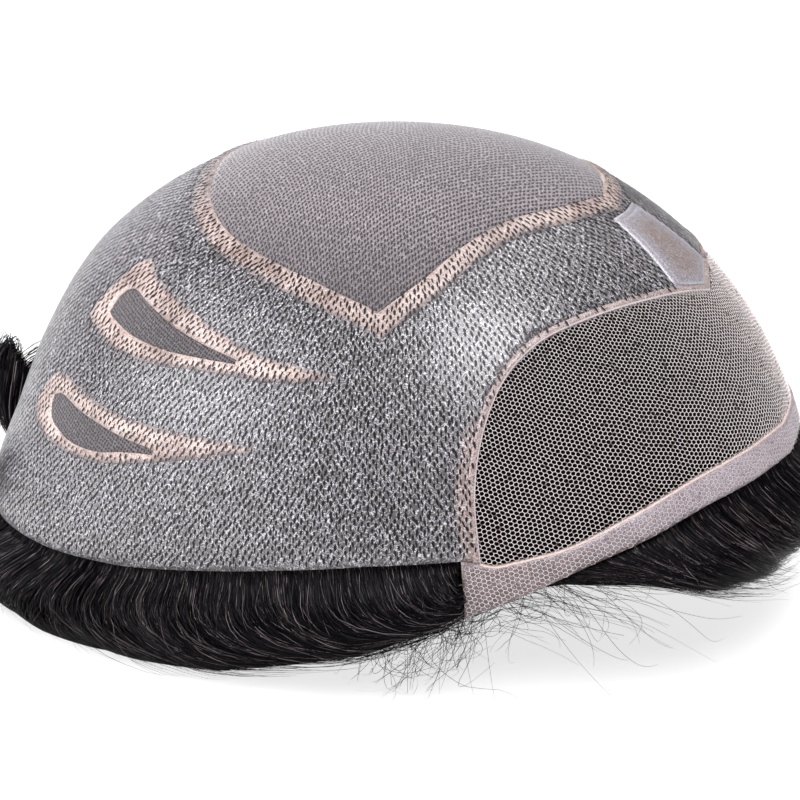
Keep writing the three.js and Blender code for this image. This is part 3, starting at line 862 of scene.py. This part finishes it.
def knot_places():
    """Rows of knots, each row half a step on. A block of rows keeps one count of knots."""
    rng = np.random.default_rng(4)
    marks = []
    row_drops = np.arange(0.24, 0.95, KNOT_ROW / DOME_ARC)
    for row, drop in enumerate(row_drops):
        if row % KNOT_BLOCK == 0:
            middle = drop + KNOT_BLOCK / 2 * KNOT_ROW / DOME_ARC
            ring = form_points(map_points(np.arange(0, 360, 3.0) - 180, np.full(120, middle)))
            round_way = np.linalg.norm(ring - np.roll(ring, 1, axis=0), axis=1).sum()
            count = int(round_way / KNOT_STEP)
        turns = (np.arange(count) + 0.5 * (row % 2)) * 360 / count - 180
        turns += rng.normal(0, 0.06, count) * 360 / count
        drops = drop + rng.normal(0, 0.1, count) * KNOT_ROW / DOME_ARC
        marks.append(map_points(turns, drops))
    return np.concatenate(marks)


def knots(name, marks, material, lift, seed, width=KNOT_WIDTH):
    """A flat six-sided dash for each place, along the way the hair falls, with some lean."""
    rng = np.random.default_rng(seed)
    count = len(marks)
    centre, normal = lifted(marks, lift), form_normals(marks)
    drop = np.hypot(*marks.T)[:, None]
    down = unit(form_points(marks * (1 + 0.004 / drop)) - form_points(marks))
    round_way = np.cross(normal, down)
    turn = np.degrees(np.arctan2(marks[:, 1], marks[:, 0]))
    lean_turn = np.clip((77 - np.abs(turn)) / 30, -1, 1) * np.sign(turn)
    lean = np.radians(-KNOT_LEAN * lean_turn + rng.normal(0, 9, count))[:, None]
    heading = down * np.cos(lean) + round_way * np.sin(lean)
    sideways = np.cross(normal, heading)
    half_length = (KNOT_LENGTH / 2 * rng.uniform(0.7, 1.25, count))[:, None]
    half_width = (width / 2 * rng.uniform(0.65, 1.2, count))[:, None]
    corners = [
        centre + heading * half_length * ahead + sideways * half_width * beyond
        for ahead, beyond in KNOT_SHAPE
    ]
    points = np.stack(corners, axis=1).reshape(-1, 3)
    faces = np.arange(count)[:, None] * 6 + np.array([0, 5, 4, 3, 2, 1])
    faces = np.concatenate([faces[:, [0, 1, 2, 5]], faces[:, [2, 3, 4, 5]]])
    return dress(mesh_object(name, points, faces), material, "black_hair")


def all_knots():
    marks = knot_places()
    bare = [grown(crown_outline, 0.4), front_outline, grown(lace_outline, 0.7), bridge_outline]
    bare += [grown(outline, 0.6) for outline in vent_meshes.values()]
    marks = marks[filling(grown(rim_outline, -1.1), *bare)(marks)]
    on_band = ~not_in(marks, crown_outer, welt_outer, *vent_bands.values())
    dark = knot_material("knot_dark", (0.006, 0.005, 0.006))
    brown = knot_material("knot_brown", (0.012, 0.008, 0.007))
    knots("skin_knots", marks[~on_band], dark, KNOT_STAND, 1)
    knots("band_knots", marks[on_band], brown, BAND_STAND + KNOT_STAND, 2, 0.5)


# Hair
hair_start_rows = [row for row in HAIRLINE if row[0] < 50] + SIDE_RIM
under_share = FRINGE_UNDER / DOME_ARC
rim_share = RIM_ROOM / DOME_ARC


def hanging(turn, start, fall, out, lift=HAIR_LIFT, sink=0.0):
    """Points of hair that leaves the form at the drop start: fall is 0 there and 1 at its foot."""
    marks = map_points(turn, start + np.minimum(fall, 0) * under_share)
    base = lifted(marks, lift)
    foot = table_at(FRINGE_FOOT, 1, aside(turn))
    foot = foot - np.where(foot > 0, 0, sink)
    tuck = table_at(FRINGE_FOOT, 2, aside(turn))
    down = np.maximum(fall, 0)
    bulge = FRINGE_BULGE * np.sin(np.pi * np.minimum(down, 1)) - tuck * down * down
    height = base[..., 2] * (1 - down) + foot * down
    low = np.stack([base[..., 0], base[..., 1], height], axis=-1)
    low = low + out_from(turn) * (bulge + out)[..., None]
    return np.where((fall < 0)[..., None], base, low)


def fringe_points(turn, fall, out):
    """Points of the fringe's outer face: fall is 0 level with the base's edge, 1 at its foot."""
    turn, fall, out = np.broadcast_arrays(turn, fall, out)
    start = table_at(hair_start_rows, 1, aside(turn)) + rim_share
    return hanging(turn, start, fall, out, HAIR_LIFT + np.where(fall < 0, out, 0), FLOOR_SINK)


def lock_relief(root_turn, along):
    """How far the locks stand out of the fringe's plain face."""
    across = (root_turn + 180) % (360 / LOCK_COUNT) / (360 / LOCK_COUNT) * 2 - 1
    round_top = np.sqrt(np.maximum(1 - (0.92 * across) ** 2, 0))
    depth = np.interp(along, [0, 0.25, 0.55, 0.8, 1], [0.5, 1, 0.95, 0.7, 0.3])
    stand = LOCK_STAND * np.sin(np.pi * along) - LOCK_SUNK * (1 - along) ** 3
    relief = np.maximum(stand + LOCK_DEPTH / 2 * depth * round_top, 0.0)
    return relief * smoothstep(along, 0, 0.45)


def swept_turn(root_turn, along):
    return root_turn + round_table(LOCK_SWEEP, root_turn) * along * along


def form_radius(angle, height):
    """Radius of the plain form, in millimetres, at an angle and a height."""
    share = np.clip((height - WIDEST_HEIGHT) / DOME_RISE, 0, 1)
    return plan_radius(angle) * (1 - share**PROFILE_POWER) ** (1 / PROFILE_POWER)


def behind_strip(points):
    """Keeps hair that passes the hairline strip under it, closest at the temple."""
    angle = np.arctan2(points[..., 1], points[..., 0])
    around = np.abs(np.degrees(angle))
    edge = table_at(HAIRLINE + [TEMPLE_POINT], 1, around)
    edge_height = form_points(map_points(np.degrees(angle), edge))[..., 2]
    below = np.maximum(edge_height - points[..., 2], 0)
    spread = np.interp(around, [44, 52], [0.8, -0.5])
    limit = form_radius(angle, points[..., 2]) - STRIP_ROOM + spread * below
    radius = np.hypot(points[..., 0], points[..., 1])
    held = np.where(around < TEMPLE_CORNER[0] + 0.4, np.minimum(radius, limit), radius)
    return points * np.stack([held / radius, held / radius, np.ones_like(held)], axis=-1)


def ring_faces(columns, ring):
    """Faces between closed rings of points that follow each other round the head."""
    here = np.arange(columns)[:, None] * ring + np.arange(ring)
    step = np.arange(columns)[:, None] * ring + (np.arange(ring) + 1) % ring
    onward, onward_step = (here + ring) % (columns * ring), (step + ring) % (columns * ring)
    return np.stack([here, step, onward_step, onward], axis=-1).reshape(-1, 4)


def ring_body(name, turns, front, back, streak):
    """A closed body between two faces that both go round the head, with its streaks' map."""
    points = np.concatenate([front, back[:, ::-1]], axis=1)
    points[..., 2] = np.maximum(points[..., 2], FLOOR_GAP)
    columns, ring = points.shape[:2]
    around = np.repeat(turns[:, None] * 1.4, ring, axis=1)
    along = np.concatenate([streak, streak[:, ::-1]], axis=1)
    places = np.stack([around, along], axis=-1).reshape(-1, 2)
    return mesh_object(name, points.reshape(-1, 3), ring_faces(columns, ring), Map=places)


def hair_body(material):
    """The fringe's own body: the backing with its locks, closed round its foot and back."""
    columns = 720
    falls = np.concatenate([np.linspace(-1, 0, 5), np.linspace(0, 1, 22)[1:]])
    roots = np.arange(columns) * 360 / columns - 180
    root, fall = np.meshgrid(roots, falls, indexing="ij")
    along = np.maximum(fall, 0)
    turn = swept_turn(root, along)
    front = fringe_points(turn, fall, np.where(fall < 0, 0, lock_relief(root, along)))
    depth = LINING_DEPTH + (FRINGE_FOOT_DEPTH - LINING_DEPTH) * along
    depth *= 1 - FOOT_ROUNDING * smoothstep(along, 0.75, 1)
    back = fringe_points(turn, fall, -depth)
    piece = ring_body("hair_body", roots, behind_strip(front), back, along * 50)
    return dress(piece, material, "black_hair", "hair_fringe")


def hair_lining(material):
    """The hair that lies under the base, down to where the fringe takes over."""
    columns, rows = 240, 40
    turns = np.arange(columns) * 360 / columns - 180
    edge = table_at(hair_start_rows, 1, np.abs(turns)) + rim_share - under_share - 0.3 / DOME_ARC
    share = np.linspace(0.004, 1, rows)
    turn, part = np.meshgrid(turns, share, indexing="ij")
    marks = map_points(turn, edge[:, None] * part)
    wave = 0.5 * np.sin(np.radians(turn) * 40 + part * 6)
    back = lifted(marks, HAIR_LIFT - LINING_DEPTH + wave)
    piece = ring_body("hair_under_base", turns, lifted(marks, HAIR_LIFT), back, part * 120)
    return dress(piece, material, "black_hair", "hair_lining")


def ribbons(name, paths, widths, facing, tones, material):
    """Thin flat strands along paths, each turned towards its own facing direction."""
    count, stations = paths.shape[:2]
    heading = unit(np.gradient(paths, axis=1))
    sideways = unit(np.cross(heading, facing))
    left = paths - sideways * widths[..., None] / 2
    right = paths + sideways * widths[..., None] / 2
    points = np.stack([left, right], axis=2)
    points[..., 2] = np.maximum(points[..., 2], STRAND_GAP)
    first = (np.arange(count)[:, None] * stations + np.arange(stations - 1)) * 2
    faces = np.stack([first, first + 1, first + 3, first + 2], axis=-1).reshape(-1, 4)
    tone = np.repeat(tones[:, None], stations * 2, axis=1)
    along = np.repeat(np.linspace(0, 1, stations), 2)[None] * np.ones((count, 1))
    tones_along = np.stack([tone, along], axis=-1).reshape(-1, 2)
    piece = mesh_object(name, points.reshape(-1, 3), faces, Map=tones_along)
    return dress(piece, material, "black_hair")


STRAND_WIDTH = 0.17
FLYAWAY_WIDTH = 0.09
CURL_STRAND_WIDTH = 0.24


def strand_points(root, turn, fall, out):
    """Points of a strand that leaves the edge of the base at its root's turn."""
    root, turn, fall, out = np.broadcast_arrays(root, turn, fall, out)
    start = table_at(STRAND_START, 1, aside(root)) + 0.4 / DOME_ARC
    return behind_strip(hanging(turn, start, fall, out * smoothstep(fall, 0, 0.25)))


def strands(name, turns, count, material, seed, loose=0.0, stations=11):
    """Strands of the fringe. Loose ones are longer, stand out further and wander."""
    rng = np.random.default_rng(seed)
    each = (count, 1)
    roots = rng.uniform(*turns, each)
    longest = 1.0 + 0.12 * loose
    length = np.clip(rng.normal(0.92, 0.07 + 0.1 * loose, each), 0.5, longest)
    share = np.linspace(0, 1, stations)[None]
    along = share * length
    least, most = 0.75 - 0.3 * loose, 1.15 + 0.2 * loose
    sweep = round_table(STRAND_SWEEP, roots) * rng.uniform(least, most, each)
    sweep += rng.normal(0, 2.0 + 3 * loose, each)
    turn = roots + sweep * along**2.5
    pace, phase = rng.uniform(3, 8, each), rng.uniform(0, 6.3, each)
    turn += loose * 1.6 * share * np.sin(share * pace + phase)
    fall = along - 0.12 * (1 - share) ** 2
    body_root = turn - round_table(LOCK_SWEEP, turn) * along * along
    loft = rng.uniform(0.0, 1.0, each) ** 2
    out = lock_relief(body_root, along) + 0.2 + loft * (0.4 + (1.4 + 6 * loose) * along**1.5)
    paths = strand_points(roots, turn, fall, out)
    twist = rng.normal(0, 0.35, (count, 1, 1))
    facing = unit(out_from(turn, 0.15) + out_from(turn + 90) * twist)
    taper = np.interp(share, [0, 0.1, 0.7, 1], [0.8, 1, 0.9, 0.25])
    tones = rng.uniform(0.5 * loose, 1, count)
    widths = STRAND_WIDTH * (1 - 0.35 * loose) * rng.uniform(0.6, 1.15, each) * taper
    return ribbons(name, paths, widths, facing, tones, material)


def flyaways(material):
    """Single strands that leave the foot of the fringe and loop along below it."""
    rng = np.random.default_rng(22)
    count, stations = 250, 28
    each = (count, 1)
    share = np.linspace(0, 1, stations)[None]

    def wander(size):
        pace, phase = rng.uniform(2, 8, each), rng.uniform(0, 6.3, each)
        return rng.normal(0, size, each) * share * np.sin(share * pace + phase)

    root = rng.triangular(-84, -58, -48, each)
    turn = root + rng.normal(9, 11, each) * share + wander(6)
    away = rng.uniform(-2, 7, each) * share + wander(3)
    fall = rng.uniform(0, 16, each) * share + wander(5)
    paths = strand_points(root, turn, 0.95, 0.5) + out_from(turn) * away[..., None]
    paths[..., 2] -= fall
    furthest_right = -HALF_WIDTH - 9
    paths = paths[paths[..., 1].min(axis=1) > furthest_right]
    kept = len(paths)
    towards_camera = np.array([0.3, -0.7, 0.65])
    facing = unit(rng.normal(0, 0.3, (kept, 1, 3)) + towards_camera)
    widths = FLYAWAY_WIDTH * np.ones((kept, 1)) * np.interp(share, [0, 0.8, 1], [1, 0.9, 0.4])
    tones = rng.uniform(0.6, 0.97, kept)
    return ribbons("hair_flyaways", paths, widths, facing, tones, material)


def curl_strands(material):
    """Loose curls at the back: each is a bundle of strands round a bent middle line."""
    rng = np.random.default_rng(31)
    stations = 22
    per_curl = 500
    all_paths, all_facing, all_widths = [], [], []
    for turn, lean, size in BACK_CURLS:
        root = fringe_points(turn, CURL_ROOT_FALL, -CURL_ROOT_SUNK)
        outward, sideways, upward = out_from(turn), out_from(turn + 90), np.array([0, 0, 1])
        reach, rise = CURL_REACH * size, CURL_RISE * size
        marks = [
            root + outward * out * reach + sideways * over * lean + upward * up * rise
            for out, up, over in CURL_PATH
        ]
        centre = spline(marks, stations)
        heading = unit(np.gradient(centre, axis=0))
        away = unit(np.concatenate([centre[:, :2], np.zeros((stations, 1))], axis=1))
        across = unit(np.cross(away, heading))
        facing = unit(np.cross(heading, across))
        share = np.linspace(0, 1, stations)
        width = np.interp(share, [0, 0.25, 0.55, 0.8, 1], [0.6, 1, 0.95, 0.65, 0.2])
        spot = rng.uniform(0, 2 * math.pi, per_curl)
        spread = np.sqrt(rng.uniform(0.2, 1.0, per_curl))[:, None] * width * size / 2
        sway = rng.normal(0, 0.3, (per_curl, 2, 1)) * share**2
        own_size = 1 + rng.uniform(-0.3, 0.12, (per_curl, 1, 1)) * share[:, None]
        round_way = spot[:, None] + 2.2 * share
        side = (np.cos(round_way) * spread + sway[:, 0]) * CURL_WIDTH
        deep = (np.sin(round_way) * spread + sway[:, 1]) * CURL_DEPTH
        from_middle = across * side[..., None] + facing * deep[..., None]
        all_paths.append(root + (centre - root) * own_size + from_middle)
        all_facing.append(unit(from_middle + 0.2 * facing))
        taper = np.interp(share, [0, 0.8, 1], [1, 0.9, 0.2])
        all_widths.append(CURL_STRAND_WIDTH * rng.uniform(0.6, 1.2, (per_curl, 1)) * taper)
    tones = rng.uniform(0, 1, per_curl * len(BACK_CURLS))
    paths, widths, facing = (np.concatenate(part) for part in (all_paths, all_widths, all_facing))
    return ribbons("hair_back_curls", paths, widths, facing, tones, material)


# Stage
FLOOR_REACH = 6.0
LIT_POINT = Vector((0, 0, 0.05))


def build_floor():
    mesh = bpy.data.meshes.new("floor")
    corners = [(FLOOR_REACH * x, FLOOR_REACH * y, 0) for x, y in ((-1, -1), (1, -1), (1, 1), (-1, 1))]
    mesh.from_pydata(corners, [], [(0, 1, 2, 3)])
    floor = added("floor", mesh)
    nodes = Nodes("floor_white")
    white = nodes.finish(
        (0.35, 0.35, 0.355), Roughness=0.6, Emission_Color=(1, 1, 1), Emission_Strength=0.76
    )
    floor.data.materials.append(white)


def look_from(azimuth, elevation):
    """The way towards the piece. Azimuth 0 is in front of -Y, 90 towards +X."""
    a, e = math.radians(azimuth), math.radians(elevation)
    return Vector((-math.sin(a) * math.cos(e), math.cos(a) * math.cos(e), -math.sin(e)))


def aimed(name, data, place, look):
    """A light or camera at a place, turned to look along a direction."""
    thing = added(name, data)
    thing.location = place
    thing.rotation_mode = "QUATERNION"
    thing.rotation_quaternion = look.to_track_quat("-Z", "Y")
    return thing


def area_light(name, azimuth, elevation, distance, size, power, colour=(1, 1, 1)):
    """A softbox aimed at the piece."""
    light = bpy.data.lights.new(name, "AREA")
    light.shape = "SQUARE"
    light.size = size
    light.energy = power
    light.color = colour
    look = look_from(azimuth, elevation)
    aimed(name, light, LIT_POINT - look * distance, look)


def build_lights():
    bpy.context.scene.view_settings.view_transform = "Standard"
    world = bpy.data.worlds.new("studio")
    bpy.context.scene.world = world
    world.use_nodes = True
    background = world.node_tree.nodes["Background"]
    background.inputs["Color"].default_value = (0.98, 0.96, 1.0, 1)
    background.inputs["Strength"].default_value = 0.34
    area_light("front_box", 38, 54, 1.2, 0.5, 13.5, (0.98, 0.97, 1))
    area_light("left_box", -52, 23, 1.2, 0.8, 14, (0.97, 0.97, 1))
    area_light("back_box", -125, 12, 1.6, 1.2, 4.5, (0.96, 0.96, 1))
    area_light("top_box", 180, 75, 1.6, 1.4, 19)


def build_camera():
    data = bpy.data.cameras.new("camera")
    data.lens = CAMERA_LENS
    data.sensor_width = CAMERA_SENSOR
    look = look_from(CAMERA_AZIMUTH, CAMERA_ELEVATION)
    bpy.context.scene.camera = aimed("camera", data, CAMERA_PLACE, look)


build_camera()
skin = skin_material()
tan = band_material("tan_band", 1.0, 0.25)
# The vent bands are a lighter copy of the tan band: painted light where they catch the highlight
vent_tan_painted_light = band_material("vent_band", 1.25, 1.0)
crown_net = woven_material(
    "fine_mesh", "Flat", (1.06, 0.49), (0.67, -0.42), (0.007, 0.005, 0.006), (0.215, 0.184, 0.196), 0.65
)
vent_net = woven_material(
    "vent_mesh", "Map", (1.2, 0.35), (-0.35, 1.2), (0.006, 0.005, 0.0055), (0.19, 0.164, 0.173)
)
base_skin(skin)
crown_mesh(crown_net)
skin_bands = [crown_band(tan)]
front_lace(thread_material("lace_thread", (1.0, 0.92, 0.9), 0.14))
skin_bands.append(lace_welt(welt_material()))
lace_fold = [front_strip(strip_material())]
lace_fold.append(strip_net(thread_material("strip_thread", (0.78, 0.71, 0.74), 0.4)))
front_bridge(bridge_material())
skin_bands += vents(vent_net, vent_tan_painted_light)
all_knots()
hair = hair_material()
mass = hair_mass_material()
hair_body(mass)
hair_lining(mass)
strands("hair_strands_right", (-150, -40), 9500, hair, 11)
strands("hair_strands_front", (-72, 75), 4500, hair, 12)
strands("hair_strands_left", (40, 150), 4000, hair, 13)
strands("hair_strands_back", (130, 230), 4000, hair, 14)
strands("hair_wisps", (-160, 70), 1700, hair, 15, 1.0, 16)
flyaways(hair)
curl_strands(hair)
build_floor()
build_lights()
